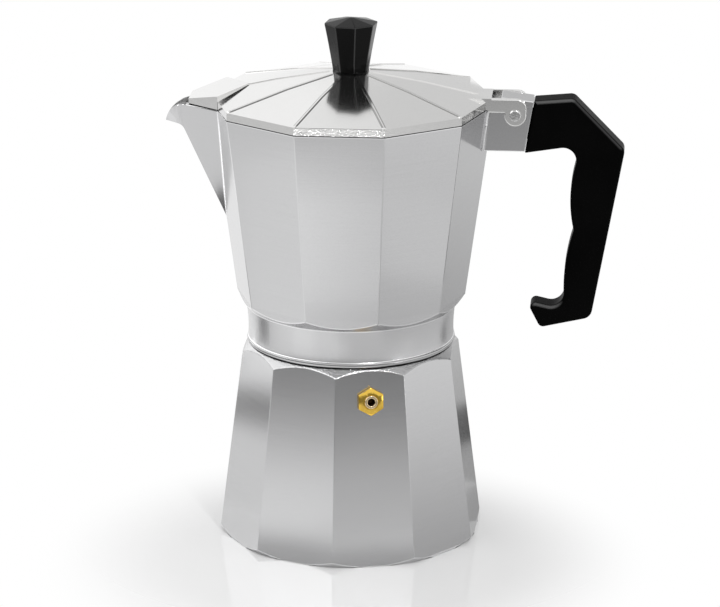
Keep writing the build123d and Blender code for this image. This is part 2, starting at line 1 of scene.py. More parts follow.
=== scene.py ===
import bpy
import bmesh
import json
import math
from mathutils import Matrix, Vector


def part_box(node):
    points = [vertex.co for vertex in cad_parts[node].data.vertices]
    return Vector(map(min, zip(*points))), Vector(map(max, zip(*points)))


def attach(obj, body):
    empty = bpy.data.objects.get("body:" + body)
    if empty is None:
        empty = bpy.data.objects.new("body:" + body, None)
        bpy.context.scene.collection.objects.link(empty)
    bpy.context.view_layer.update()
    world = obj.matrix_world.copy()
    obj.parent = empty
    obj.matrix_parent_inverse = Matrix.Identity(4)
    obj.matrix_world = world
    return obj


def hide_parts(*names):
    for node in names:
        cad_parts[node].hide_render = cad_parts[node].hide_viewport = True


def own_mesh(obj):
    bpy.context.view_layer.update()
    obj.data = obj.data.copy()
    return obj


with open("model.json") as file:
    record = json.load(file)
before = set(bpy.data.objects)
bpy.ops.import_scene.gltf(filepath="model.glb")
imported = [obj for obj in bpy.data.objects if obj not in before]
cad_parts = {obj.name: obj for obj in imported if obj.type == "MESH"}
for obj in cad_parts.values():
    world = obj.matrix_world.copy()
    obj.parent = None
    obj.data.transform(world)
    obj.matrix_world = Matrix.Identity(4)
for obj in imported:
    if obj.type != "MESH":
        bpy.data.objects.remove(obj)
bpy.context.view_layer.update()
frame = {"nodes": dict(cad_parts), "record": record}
print("frame loaded:", len(frame["nodes"]), "pieces of the pot")

mm = 0.001  # the frame is in metres, sizes below are in millimetres


class Wire:
    # one output socket, with sums written as plain expressions
    def __init__(self, tree, socket):
        self.tree = tree
        self.socket = socket

    def plug(self, target, value):
        if isinstance(value, Wire):
            self.tree.links.new(value.socket, target)
        else:
            target.default_value = value

    def maths(self, operation, first, second):
        node = self.tree.nodes.new("ShaderNodeMath")
        node.operation = operation
        self.plug(node.inputs[0], first)
        self.plug(node.inputs[1], second)
        return Wire(self.tree, node.outputs[0])

    def __add__(self, other):
        return self.maths("ADD", self, other)

    def __radd__(self, other):
        return self.maths("ADD", other, self)

    def __sub__(self, other):
        return self.maths("SUBTRACT", self, other)

    def __rsub__(self, other):
        return self.maths("SUBTRACT", other, self)

    def __mul__(self, other):
        return self.maths("MULTIPLY", self, other)

    def __rmul__(self, other):
        return self.maths("MULTIPLY", other, self)


class Finish:
    # a material, or the world, whose nodes are added one by one
    def __init__(self, owner):
        owner.use_nodes = True
        self.owner = owner
        self.tree = owner.node_tree
        self.tree.nodes.clear()

    def add(self, kind, settings=None, sockets=None, out=0):
        node = self.tree.nodes.new(kind)
        for name, value in (settings or {}).items():
            if name == "stops":  # places and greys of a ramp
                ramp = node.color_ramp
                while len(ramp.elements) < len(value):
                    ramp.elements.new(1.0)
                for element, (place, grey) in zip(ramp.elements, value):
                    element.position = place
                    element.color = (grey, grey, grey, 1.0)
            else:
                setattr(node, name, value)
        wire = Wire(self.tree, node.outputs[out] if node.outputs else None)
        for name, value in (sockets or {}).items():
            wire.plug(node.inputs[name], value)
        return wire

    def noise(self, place, scale, detail=2.0):
        return self.add("ShaderNodeTexNoise", None, {"Vector": place, "Scale": scale, "Detail": detail}, out="Fac")

    def mask(self, name):
        return self.add("ShaderNodeAttribute", {"attribute_name": name}, out="Fac")

    def blend(self, share, first, second):
        return self.add("ShaderNodeMix", {"data_type": "RGBA"}, {0: share, 6: first, 7: second}, out=2)

    def surface(self, sockets):
        shader = self.add("ShaderNodeBsdfPrincipled", None, sockets)
        self.add("ShaderNodeOutputMaterial", None, {"Surface": shader})
        return self.owner


def newFinish(name):
    return Finish(bpy.data.materials.new(name))


def colour(grey, tint=(1.0, 1.0, 1.0)):
    return (grey * tint[0], grey * tint[1], grey * tint[2], 1.0)


def axesOf(finish, place):
    across = finish.add("ShaderNodeSeparateXYZ", None, {"Vector": place}, out="X")
    sockets = across.socket.node.outputs
    return across, Wire(finish.tree, sockets["Y"]), Wire(finish.tree, sockets["Z"])


def outFrom(x, y):
    return x.maths("POWER", x * x + y * y, 0.5)  # distance from the pot's upright axis


# finishes

brushed = {"lines": 0.3, "clouds": 0.3, "skin": 0.4, "insideRough": 0.3, "satinRough": 0.12, "bumpReach": 0.0002}


def brushedMetal(name, look):
    # drawn lines, soft cloudiness and a fine cast skin on a bare metal
    finish = newFinish(name)
    place = finish.add("ShaderNodeTexCoord", out="Object")
    drawn = finish.add("ShaderNodeMapping", None, {"Vector": place, "Scale": look["grain"]})
    lines = finish.noise(drawn, 1.0)
    clouds = finish.noise(place, look["clouds"], 3.0)
    skin = finish.noise(place, look["skin"])
    tone = lines * brushed["lines"] + clouds * brushed["clouds"] + skin * brushed["skin"]
    base = finish.blend(tone, look["dark"], look["light"])
    rough = (clouds - 0.5) * look["roughSpread"] + (lines - 0.5) * look["roughSpread"] + look["roughness"]
    relief = (lines + skin) * (0.5 * look["bump"])
    for mark in look.get("marks", []):
        base, relief = mark(finish, place, base, relief)
    if "inside" in look:  # rougher, and painted shade, where the faces look into the vessel
        inner = finish.mask("inside")
        base = finish.blend(inner, base, look["inside"])
        rough = rough + inner * brushed["insideRough"]
    if "edges" in look:  # painted highlight along the broken edges
        base = finish.blend(finish.mask("rubbed"), base, look["edges"])
    if "satin" in look:  # the turned foot is duller than the sides
        z = axesOf(finish, place)[2]
        rough = rough + z.maths("LESS_THAN", z, look["satin"]) * brushed["satinRough"]
    normal = finish.add("ShaderNodeBump", None, {
        "Height": relief, "Strength": 1.0, "Distance": brushed["bumpReach"],
    })
    return finish.surface({"Base Color": base, "Roughness": rough, "Normal": normal, "Metallic": 1.0})


pressMarks = {"half": 0.0176, "front": -0.03, "top": 0.1801, "scale": 1500.0, "depth": 5.0}


def addPressMarks(finish, place, base, relief):
    # the lid's front edge is left rough from the press
    x, y, z = axesOf(finish, place)
    inside = x.maths("LESS_THAN", x.maths("ABSOLUTE", x, 0.0), pressMarks["half"])
    front = y.maths("LESS_THAN", y, pressMarks["front"])
    below = z.maths("LESS_THAN", z, pressMarks["top"])
    dents = finish.noise(place, pressMarks["scale"], 1.0)
    return base, relief + dents * inside * front * below * pressMarks["depth"]


ribShade = {
    "sides": 10, "phase": 10.5, "inner": 0.00028, "outer": 0.00085, "start": 0.0071, "end": 0.0555, "clear": 0.0016,
    "low": 0.1806, "faded": 0.03, "dark": 0.6, "pale": 0.15, "tone": 0.05,
}


def addRibShade(finish, place, base, relief):
    # painted shade: a dark line along both feet of each rib on the lid
    x, y, z = axesOf(finish, place)
    out = outFrom(x, y)
    step = 2 * math.pi / ribShade["sides"]
    turn = x.maths("ARCTAN2", y, x) * (1 / step) + ribShade["phase"]
    off = (x.maths("FRACT", turn, 0.0) - 0.5) * step  # angle from the nearest rib
    side = x.maths("ABSOLUTE", x.maths("SINE", off, 0.0) * out, 0.0)
    shadeLine = x.maths("GREATER_THAN", side, ribShade["inner"]) * x.maths("LESS_THAN", side, ribShade["outer"])
    reach = x.maths("GREATER_THAN", out, ribShade["start"]) * x.maths("LESS_THAN", out, ribShade["end"])
    clear = x.maths("GREATER_THAN", x.maths("ABSOLUTE", y, 0.0), ribShade["clear"])
    high = x.maths("GREATER_THAN", z, ribShade["low"])
    depth = finish.add("ShaderNodeMapRange", None, {  # the painted shade fades towards the back
        "Value": y, "From Min": 0.0, "From Max": ribShade["faded"],
        "To Min": ribShade["dark"], "To Max": ribShade["pale"],
    })
    return finish.blend(shadeLine * reach * clear * high * depth, base, colour(ribShade["tone"])), relief


lipLinesAndShade = {
    "low": 0.0797, "high": 0.0826, "tone": 0.10,
    "stops": [(0.0, 0.85), (0.16, 0.80), (0.24, 0.10), (0.36, 0.15), (0.44, 0.70), (0.52, 0.15), (0.62, 0.10),
              (0.72, 0.75), (0.82, 0.60), (0.92, 0.0)],
}


def addLipLinesAndShade(finish, place, base, relief):
    # fine turned lines round the lip, painted as dark bands, with painted shade darkest at its foot
    z = axesOf(finish, place)[2]
    height = finish.add("ShaderNodeMapRange", None, {
        "Value": z, "From Min": lipLinesAndShade["low"], "From Max": lipLinesAndShade["high"],
    })
    shade = finish.add("ShaderNodeValToRGB", {"stops": lipLinesAndShade["stops"]}, {"Fac": height}, out="Color")
    return finish.blend(shade, base, colour(lipLinesAndShade["tone"])), relief


shoulderShadeAndCuts = {"sum": 0.1204, "shade": 0.35, "tone": 0.12, "scale": 1500.0, "depth": 1.0}


def addShoulderShadeAndCuts(finish, place, base, relief):
    # painted shade on the sloping shoulder under the lip, darker than the sides, with turned cuts in its relief
    x, y, z = axesOf(finish, place)
    shoulder = x.maths("GREATER_THAN", outFrom(x, y) + z, shoulderShadeAndCuts["sum"])
    cuts = finish.noise(place, shoulderShadeAndCuts["scale"])
    # painted shade where the shoulder lies under the lip
    shaded = finish.blend(shoulder * shoulderShadeAndCuts["shade"], base, colour(shoulderShadeAndCuts["tone"]))
    return shaded, relief + cuts * shoulder * shoulderShadeAndCuts["depth"]


moulded = {"skin": 1400.0, "patches": 60.0, "patchRough": 0.14, "skinRough": 0.08, "bumpReach": 0.0001}


def mouldedBlack(name, look):
    # black moulding with a fine skin and a few dull patches
    finish = newFinish(name)
    place = finish.add("ShaderNodeTexCoord", out="Object")
    skin = finish.noise(place, moulded["skin"])
    patches = finish.noise(place, moulded["patches"], 3.0)
    base = finish.blend(patches, look["dark"], look["light"])
    # painted highlight along the broken edges
    base = finish.blend(finish.mask("rubbed"), base, look["edges"])
    rough = (patches - 0.5) * moulded["patchRough"] + (skin - 0.5) * moulded["skinRough"] + look["roughness"]
    normal = finish.add("ShaderNodeBump", None, {
        "Height": skin, "Strength": look["bump"], "Distance": moulded["bumpReach"],
    })
    return finish.surface({
        "Base Color": base, "Roughness": rough, "Normal": normal, "IOR": look["index"],
    })


dusty = {"pits": 700.0, "dust": 90.0, "dustRough": 0.2, "bump": 0.15, "bumpReach": 0.0002}


def softSeal(name, look):
    # rubber or fibre with a dusty, faintly pitted skin
    finish = newFinish(name)
    place = finish.add("ShaderNodeTexCoord", out="Object")
    pits = finish.noise(place, dusty["pits"], 4.0)
    dust = finish.noise(place, dusty["dust"], 3.0)
    base = finish.blend(dust, look["dark"], look["light"])
    rough = (dust - 0.5) * dusty["dustRough"] + look["roughness"]
    normal = finish.add("ShaderNodeBump", None, {
        "Height": pits, "Strength": dusty["bump"], "Distance": dusty["bumpReach"],
    })
    return finish.surface({"Base Color": base, "Roughness": rough, "Normal": normal})


castGrain = (24.0, 24.0, 2600.0)  # lines drawn round the pot
turnedGrain = (12.0, 12.0, 2400.0)
plainGrain = (260.0, 260.0, 260.0)
coolTint, warmTint = (0.998, 0.998, 1.008), (1.0, 0.996, 0.988)

finishes = {
    "boiler_aluminium": brushedMetal("boilerSatin", {
        "grain": castGrain, "clouds": 22.0, "skin": 1700.0,
        "dark": colour(0.54, coolTint), "light": colour(0.65, coolTint), "roughness": 0.20, "roughSpread": 0.03,
        "bump": 0.014, "marks": [addShoulderShadeAndCuts], "inside": colour(0.12), "edges": colour(0.72, coolTint),
    }),
    "collector_aluminium": brushedMetal("collectorSatin", {
        "grain": castGrain, "clouds": 22.0, "skin": 1700.0,
        "dark": colour(0.54, coolTint), "light": colour(0.65, coolTint), "roughness": 0.13, "roughSpread": 0.03,
        "bump": 0.014, "marks": [addLipLinesAndShade], "inside": colour(0.12), "edges": colour(0.80, coolTint), "satin": 0.1,
    }),
    "column_aluminium": brushedMetal("columnTurned", {
        "grain": turnedGrain, "clouds": 40.0, "skin": 1500.0, "dark": colour(0.52), "light": colour(0.68),
        "roughness": 0.30, "roughSpread": 0.10, "bump": 0.10,
    }),
    "lid_aluminium": brushedMetal("lidBright", {
        "grain": plainGrain, "clouds": 20.0, "skin": 2600.0,
        "dark": colour(0.80, warmTint), "light": colour(0.88, warmTint), "roughness": 0.12, "roughSpread": 0.03,
        "bump": 0.012, "marks": [addPressMarks, addRibShade], "inside": colour(0.40),
    }),
    "inner_aluminium": brushedMetal("pressedPlain", {
        "grain": turnedGrain, "clouds": 50.0, "skin": 1500.0, "dark": colour(0.55), "light": colour(0.68),
        "roughness": 0.34, "roughSpread": 0.10, "bump": 0.05,
    }),
    "valve_brass": brushedMetal("valveBrass", {
        "grain": (500.0, 500.0, 500.0), "clouds": 260.0, "skin": 2000.0,
        "dark": (0.62, 0.36, 0.04, 1.0), "light": (0.97, 0.68, 0.14, 1.0),
        "roughness": 0.17, "roughSpread": 0.10, "bump": 0.05,
    }),
    "bush_brass": brushedMetal("bushBrass", {
        "grain": (500.0, 500.0, 500.0), "clouds": 300.0, "skin": 2000.0,
        "dark": (0.78, 0.58, 0.32, 1.0), "light": (0.97, 0.82, 0.56, 1.0),
        "roughness": 0.20, "roughSpread": 0.10, "bump": 0.05,
    }),
    "fastener_steel": brushedMetal("platedSteel", {
        "grain": (600.0, 600.0, 600.0), "clouds": 120.0, "skin": 1800.0,
        "dark": colour(0.44), "light": colour(0.62), "roughness": 0.32, "roughSpread": 0.12, "bump": 0.08,
    }),
    "pin_steel": brushedMetal("rivetSteel", {
        "grain": (700.0, 700.0, 700.0), "clouds": 500.0, "skin": 1300.0,
        "dark": colour(0.55), "light": colour(0.85), "roughness": 0.20, "roughSpread": 0.12, "bump": 0.9,
    }),
    "handle_black": mouldedBlack("handleMoulding", {
        "dark": colour(0.0014), "light": colour(0.0030), "edges": colour(0.10),
        "roughness": 0.30, "bump": 0.03, "index": 1.05,
    }),
    "knob_black": mouldedBlack("knobMoulding", {
        "dark": colour(0.0012), "light": colour(0.0026), "edges": colour(0.035),
        "roughness": 0.20, "bump": 0.02, "index": 1.19,
    }),
    "gasket_silicone": softSeal("gasketSilicone", {
        "dark": (0.60, 0.59, 0.55, 1.0), "light": (0.74, 0.73, 0.70, 1.0), "roughness": 0.6,
    }),
    "seal_rubber": softSeal("sealRubber", {"dark": colour(0.03), "light": colour(0.06), "roughness": 0.65}),
    "washer_fibre": softSeal("washerFibre", {
        "dark": (0.20, 0.05, 0.03, 1.0), "light": (0.34, 0.10, 0.07, 1.0), "roughness": 0.75,
    }),
}
boreShade = brushedMetal("boreShade", {  # the valve's inner end, painted dark brown as shade in the bore
    "grain": plainGrain, "clouds": 300.0, "skin": 1500.0,
    "dark": (0.020, 0.012, 0.006, 1.0), "light": (0.05, 0.03, 0.015, 1.0),
    "roughness": 0.5, "roughSpread": 0.1, "bump": 0.05,
})
print("finishes made:", len(finishes))

slotOf = {row["node"]: row["material_slot"] for row in frame["record"]["subparts"]}


def finishOf(node):
    return boreShade if node in ("valve_poppet", "valve_spring") else finishes[slotOf[node]]


for node, piece in frame["nodes"].items():
    piece.data.materials.clear()
    piece.data.materials.append(finishOf(node))


# pieces of the frame with their edges broken

def bodyOf(node):
    return next(body for body, nodes in frame["record"]["behaviour"]["bodies"].items() if node in nodes)


def toMesh(name, shape):
    mesh = bpy.data.meshes.new(name)
    shape.to_mesh(mesh)
    shape.free()
    return mesh


def show(name, data):
    item = bpy.data.objects.new(name, data)
    bpy.context.scene.collection.objects.link(item)
    return item


def seat(mesh, name, node):
    # puts a finished mesh in the scene on the body of a node
    piece = show(name, mesh)
    mesh.materials.append(finishOf(node))
    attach(piece, bodyOf(node))
    return piece


def smoothFaces(mesh, angle):
    mesh.polygons.foreach_set("use_smooth", [True] * len(mesh.polygons))
    mesh.set_sharp_from_angle(angle=math.radians(angle))


weld = 0.004  # corners nearer than this are one


def mergedCopy(node, masks=()):
    shape = bmesh.new()
    shape.from_mesh(frame["nodes"][node].data)
    for mask in masks:
        shape.faces.layers.float.new(mask)
    bmesh.ops.remove_doubles(shape, verts=shape.verts, dist=weld * mm)
    return shape


def roundOver(shape, edges, size, segments, clamp=False):
    return bmesh.ops.bevel(
        shape, geom=edges, offset=size * mm, offset_type="OFFSET", affect="EDGES", segments=segments,
        profile=0.5, material=-1, clamp_overlap=clamp,
    )["faces"]


def partEdges(shape, part, fold):
    # the sharp edges that lie within the limits of one part
    chosen = []
    for edge in shape.edges:
        ends = [vert.co for vert in edge.verts]
        if (
            edge.is_convex == part["convex"] and edge.calc_face_angle(0) > fold
            and part["left"] * mm < min(end.x for end in ends)
            and part["right"] * mm > max(end.x for end in ends)
            and part["above"] * mm < min(end.z for end in ends)
            and part["out"] * mm < max(end.xy.length for end in ends)
            and part["long"] * mm < edge.calc_length()
        ):
            chosen.append(edge)
    return chosen


def sharpEdges(shape, look, fold):
    chosen = []
    for edge in shape.edges:
        ends = [vert.co for vert in edge.verts]
        if (
            len(edge.link_faces) == 2 and edge.calc_face_angle(0) > fold
            and look["above"] * mm < min(end.z for end in ends)
            and look["tip"] * mm < min(end.x for end in ends)
            and look["least"] * mm < edge.calc_length()
            and (edge.is_convex or not look.get("convexOnly"))
        ):
            chosen.append(edge)
    return chosen


inward = {"share": 0.25, "level": 0.5, "down": -0.3}


def markInside(shape, mask, look):
    # how much each face looks into the vessel, for the painted shade there; the spout's mouth counts in full
    heart = Vector((0, 0, look["heart"] * mm))
    for face in shape.faces:
        middle = face.calc_center_median()
        within = face.normal.dot(heart - middle) > 0 and middle.x < look["hollow"] * mm
        within = within and (middle.z < look["under"] * mm or face.normal.z < inward["down"])
        mouth = middle.x < look["mouth"] * mm and (within or face.normal.z > inward["level"])
        face[mask] = 1.0 if mouth else inward["share"] * within


def paintRimHighlight(faces, mask, rimHighlight):
    # painted highlight on the upper rim, on one side alone
    for face in faces:
        middle = face.calc_center_median()
        turn = math.degrees(math.atan2(middle.y, middle.x)) - rimHighlight["bearing"]
        away = abs((turn + 180.0) % 360.0 - 180.0) / rimHighlight["spread"]
        if middle.z > rimHighlight["above"] * mm:
            face[mask] *= max(rimHighlight["least"], 1.0 - away)


def breakEdges(name, node, look):
    # a copy of the node's solid with its sharp edges rounded over
    shape = mergedCopy(node, ("inside", "rubbed"))
    inside, rubbed = (shape.faces.layers.float[mask] for mask in ("inside", "rubbed"))
    bmesh.ops.dissolve_limit(
        shape, angle_limit=math.radians(look["flat"]), verts=shape.verts, edges=shape.edges, delimit={"NORMAL"}
    )
    if "reshape" in look:
        look["reshape"](shape)
    fold = math.radians(look["sharp"])
    if "wider" in look:  # edges that are rounded more than the rest, with a painted highlight in full
        chosen = partEdges(shape, look["wider"], fold)
        for face in roundOver(shape, chosen, look["wider"]["round"], look["segments"]):
            face[rubbed] = 1.0
    broken = roundOver(shape, sharpEdges(shape, look, fold), look["round"], look["segments"], look["clamp"])
    shape.normal_update()
    if "heart" in look:
        markInside(shape, inside, look)
    # painted highlight on the rounded edges, but not where they look into the vessel
    for face in broken:
        face[rubbed] = 1.0 - face[inside]
    if "rimHighlight" in look:
        paintRimHighlight(broken, rubbed, look["rimHighlight"])
    if "upperHighlight" in look:  # painted highlight along its upper rounded edges alone
        for face in shape.faces:
            upper = look["upperHighlight"] * abs(face.normal.y) * face.normal.z - 1.0
            face[rubbed] = min(1.0, max(0.0, upper))
    mesh = toMesh(name, shape)
    smoothFaces(mesh, look["smooth"])
    piece = seat(mesh, name, node)
    flatten = piece.modifiers.new("flatFaces", "WEIGHTED_NORMAL")
    flatten.keep_sharp = True
    flatten.weight = 80
    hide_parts(node)


footRise = {"ring": 51.72, "below": 1.2, "times": 2.4, "lean": math.tan(math.radians(7.0))}


def raiseFoot(shape):
    # the turned foot cuts further up each corner
    for vert in shape.verts:
        out = vert.co.xy.length
        if out > footRise["ring"] * mm and 0 < vert.co.z < footRise["below"] * mm:
            lift = vert.co.z * (footRise["times"] - 1)
            vert.co.xy *= (out - lift * footRise["lean"]) / out
            vert.co.z += lift


lipTrim = {"wall": 41.4, "low": 79.8, "high": 81.9, "keep": 0.5}


def trimLip(shape):
    # the rolled lip stands out only a little from the waist
    for vert in shape.verts:
        out = vert.co.xy.length
        if out > lipTrim["wall"] * mm and lipTrim["low"] * mm < vert.co.z < lipTrim["high"] * mm:
            vert.co.xy *= (lipTrim["wall"] * mm + (out - lipTrim["wall"] * mm) * lipTrim["keep"]) / out


facingDown = -0.9  # the upright part of a level lower face's normal


def sinkFaces(shape, faces, drop):
    # pulls the faces out of the shape, or pushes them into it, along the upright axis
    moved = bmesh.ops.extrude_face_region(shape, geom=faces)["geom"]
    corners = [item for item in moved if isinstance(item, bmesh.types.BMVert)]
    bmesh.ops.translate(shape, vec=(0, 0, drop * mm), verts=corners)


knobShape = {"drop": 1.1, "crown": 209.7, "facing": 0.6, "groove": 0.16, "swell": 0.05}


def seatKnob(shape):
    # the moulding reaches down over the boss, and its crown is eight pads with creases between
    sinkFaces(shape, [f for f in shape.faces if f.normal.z < facingDown], -knobShape["drop"])
    crown = [
        f for f in shape.faces
        if f.normal.z > knobShape["facing"] and f.calc_center_median().z > knobShape["crown"] * mm
    ]
    bmesh.ops.inset_individual(
        shape, faces=crown, thickness=knobShape["groove"] * mm, depth=knobShape["swell"] * mm, use_even_offset=True
    )


recess = {"arm": 2.0, "half": 0.42, "deep": 1.1, "skin": 0.1}


def crossRecess(shape):
    # a cross for the screwdriver, sunk in the face of the head
    low = min(v.co.z for v in shape.verts)
    head = [v.co.x for v in shape.verts if v.co.z < low + recess["skin"] * mm]
    middle = Vector(((min(head) + max(head)) / 2, 0, low))

    def headFaces():
        level = low + recess["skin"] * mm
        return [f for f in shape.faces if f.normal.z < facingDown and f.calc_center_median().z < level]

    for way in (Vector((1, 0, 0)), Vector((0, 1, 0))):
        for reach in (-recess["arm"], -recess["half"], recess["half"], recess["arm"]):
            parts = dict.fromkeys(item for f in headFaces() for item in (f, *f.edges, *f.verts))
            bmesh.ops.bisect_plane(shape, geom=list(parts), plane_co=middle + way * reach * mm, plane_no=way)
    cross = []
    for f in headFaces():
        off = f.calc_center_median() - middle
        wide, narrow = max(abs(off.x), abs(off.y)), min(abs(off.x), abs(off.y))
        if wide < recess["arm"] * mm and narrow < recess["half"] * mm:
            cross.append(f)
    sinkFaces(shape, cross, recess["deep"])
    bmesh.ops.delete(shape, geom=cross, context="FACES_ONLY")


plainEdges = {
    "flat": 0.6, "sharp": 35, "segments": 2, "smooth": 50, "clamp": False, "above": -1.0, "tip": -99.0, "least": 0.0,
    "under": 999.0, "mouth": -99.0,
}
brokenEdges = {  # what differs from the plain row, in millimetres and degrees
    "boiler": {"sharp": 20, "round": 0.35, "reshape": raiseFoot, "heart": 60.0, "hollow": 60.0,
               "rimHighlight": {"above": 70.0, "bearing": -93.0, "spread": 26.0, "least": 0.1}},
    "collector": {"sharp": 20, "round": 0.35, "smooth": 24, "reshape": trimLip, "heart": 175.0, "hollow": 48.0,
                  "mouth": -52.0, "least": 1.0, "tip": -70.0,
                  "wider": {"convex": False, "left": -99.0, "right": -44.0, "above": 125.0, "out": 49.5,
                            "long": 3.0, "round": 0.6}},
    "lid": {"sharp": 20, "round": 0.12, "smooth": 24, "clamp": True, "heart": 150.0, "hollow": 50.0, "under": 180.3,
            "wider": {"convex": True, "left": 57.0, "right": 99.0, "above": 0.0, "out": 0.0,
                      "long": 0.3, "round": 0.16}},
    "knob": {"sharp": 30, "round": 0.3, "reshape": seatKnob, "above": 190.5},
    "handle": {"round": 0.4, "upperHighlight": 4.0},
    "valve_body": {"sharp": 25, "round": 0.15},
    "valve_bush": {"round": 0.3, "segments": 3, "smooth": 60},
    "hinge_pin": {"round": 0.45, "segments": 3, "smooth": 60, "convexOnly": True},
    "handle_screw": {"round": 0.12, "reshape": crossRecess},
    "knob_screw": {"round": 0.12, "reshape": crossRecess},
}
for node, look in brokenEdges.items():
    breakEdges(node + "Rounded", node, {**plainEdges, **look})
print("edges broken on", ", ".join(brokenEdges))


# spring behind the valve's plunger

def windSpring(name, node, joint):
    # a welded, smooth copy of the spring, set on the spring's body with a mesh of its own
    shape = mergedCopy(node)
    lift = next(row for row in frame["record"]["behaviour"]["joints"] if row["name"] == joint)
    axis = Vector(lift["axis"]).normalized()
    along = [axis.dot(v.co) for v in shape.verts]
    low, high = min(along), max(along)
    outer = sum((v.co for v in shape.verts), Vector()) / len(shape.verts)
    outer += axis * (high - axis.dot(outer))
    mesh = toMesh(name, shape)
    smoothFaces(mesh, plainEdges["smooth"])
    spring = seat(mesh, name, node)
    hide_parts(node)
    1.0 - max(lift["range_m"]) / (high - low)
    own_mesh(spring)


windSpring("valveSpringWound", "valve_spring", "valve_lift")
print("spring wound")


# screw thread on the neck and in the skirt

thread = {
    "pitch": 3.0, "turns": 1.9, "steps": 48, "ridge": 0.28, "foot": 1.5, "crest": 0.5, "sunk": 0.15, "smooth": 40,
    "neckRadius": 36.0, "neckStart": 1.6, "skirtRadius": 36.4, "skirtStart": 3.1,
}


def makeThread(name, node, radius, start, height):
    # a low ridge that climbs round the pot; a negative height stands inwards
    shape = bmesh.new()
    foot, crest = thread["foot"] / 2, thread["crest"] / 2
    sink = -thread["sunk"] if height > 0 else thread["sunk"]  # the foot lies under the wall's skin
    corners = ((sink, -foot), (height, -crest), (height, crest), (sink, foot))
    ring = [shape.verts.new(((radius + out) * mm, 0, (start + up) * mm)) for out, up in corners]
    loop = [shape.edges.new((ring[i], ring[(i + 1) % 4])) for i in range(4)]
    bmesh.ops.spin(
        shape, geom=ring + loop, cent=(0, 0, 0), axis=(0, 0, 1), dvec=(0, 0, thread["pitch"] * mm / thread["steps"]),
        angle=2 * math.pi * thread["turns"], steps=int(thread["steps"] * thread["turns"]),
        use_merge=False, use_duplicate=False,
    )
    bmesh.ops.holes_fill(shape, edges=[e for e in shape.edges if e.is_boundary], sides=4)
    bmesh.ops.recalc_face_normals(shape, faces=shape.faces)
    mesh = toMesh(name, shape)
    smoothFaces(mesh, thread["smooth"])
    seat(mesh, name, node)


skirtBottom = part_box("collector")[0].z / mm
makeThread("neckThread", "boiler", thread["neckRadius"], skirtBottom + thread["neckStart"], thread["ridge"])
makeThread("skirtThread", "collector", thread["skirtRadius"], skirtBottom + thread["skirtStart"], -thread["ridge"])
print("threads cut")


# floor, light and camera

def straightRays(finish):
    # 1 for what the eye, a mirror or a glass shows, 0 for what only gives light
    seen = finish.add("ShaderNodeLightPath", out="Is Camera Ray")
    shiny = Wire(finish.tree, seen.socket.node.outputs["Is Glossy Ray"])
    through = Wire(finish.tree, seen.socket.node.outputs["Is Transmission Ray"])
    return seen.maths("MAXIMUM", seen.maths("MAXIMUM", seen, shiny), through)


studio = {
    "floorReach": 12.0, "floorTone": 0.80, "floorMottle": 0.01, "mottleScale": 3.0, "floorIndex": 2.1,
    "glossNear": 0.05, "glossFar": 0.95, "glossStart": 0.09, "glossEnd": 0.19, "roomLight": 0.86, "backdrop": 1.0,
    "shadowNear": 0.062, "shadowFar": 0.125, "shadowPlace": (0.0, 0.042, 0.0),
}
white = (1.0, 1.0, 1.0, 1.0)


def layFloor(name):
    reach = studio["floorReach"]
    shape = bmesh.new()
    corners = [(-reach, -reach, 0), (reach, -reach, 0), (reach, reach, 0), (-reach, reach, 0)]
    shape.faces.new([shape.verts.new(corner) for corner in corners])
    plane = show(name, toMesh(name, shape))
    return plane


floor = layFloor("floor")
paper = newFinish("palePaper")
paperPlace = paper.add("ShaderNodeTexCoord", out="Object")
fromPot = paper.add("ShaderNodeVectorMath", {"operation": "LENGTH"}, {0: paperPlace}, out="Value")
shifted = paper.add("ShaderNodeMapping", None, {"Vector": paperPlace, "Location": studio["shadowPlace"]})
fromShadow = paper.add("ShaderNodeVectorMath", {"operation": "LENGTH"}, {0: shifted}, out="Value")
sheen = paper.add("ShaderNodeMapRange", None, {  # polished round the pot, matt further out
    "Value": fromPot, "From Min": studio["glossStart"], "From Max": studio["glossEnd"],
    "To Min": studio["glossNear"], "To Max": studio["glossFar"],
})
paperTone = paper.blend(
    paper.noise(paperPlace, studio["mottleScale"]),
    colour(studio["floorTone"] - studio["floorMottle"]), colour(studio["floorTone"]),
)
paperShader = paper.add("ShaderNodeBsdfPrincipled", None, {
    "Base Color": paperTone, "Roughness": sheen, "IOR": studio["floorIndex"],
})
bright = paper.add("ShaderNodeEmission", None, {"Color": white, "Strength": studio["backdrop"]})
beyond = paper.add("ShaderNodeMapRange", {"interpolation_type": "SMOOTHSTEP"}, {  # where the shadow has died away
    "Value": fromShadow, "From Min": studio["shadowNear"], "From Max": studio["shadowFar"],
    "To Min": 0.0, "To Max": 1.0,
})
paperMix = paper.add("ShaderNodeMixShader", None, {0: beyond * straightRays(paper), 1: paperShader, 2: bright})
paper.add("ShaderNodeOutputMaterial", None, {"Surface": paperMix})
floor.data.materials.append(paper.owner)

room = Finish(bpy.data.worlds.new("whiteRoom"))
bpy.context.scene.world = room.owner
strength = straightRays(room) * (studio["backdrop"] - studio["roomLight"]) + studio["roomLight"]
sky = room.add("ShaderNodeBackground", None, {"Color": white, "Strength": strength})
room.add("ShaderNodeOutputWorld", None, {"Surface": sky})


def softbox(name, place, aim, size, power):
    light = bpy.data.lights.new(name, "AREA")
    light.shape = "RECTANGLE"
    light.size, light.size_y = size
    light.energy = power
    lamp = show(name, light)
    lamp.location = place
    lamp.rotation_euler = (Vector(aim) - Vector(place)).to_track_quat("-Z", "Y").to_euler()


softbox("keyStrip", place=(0.53, -1.0, 1.28), aim=(0, 0, 0.1), size=(0.10, 0.40), power=5.0)
softbox("fillBox", place=(-1.0, -0.8, 1.2), aim=(0, 0, 0.1), size=(0.8, 0.8), power=3.0)

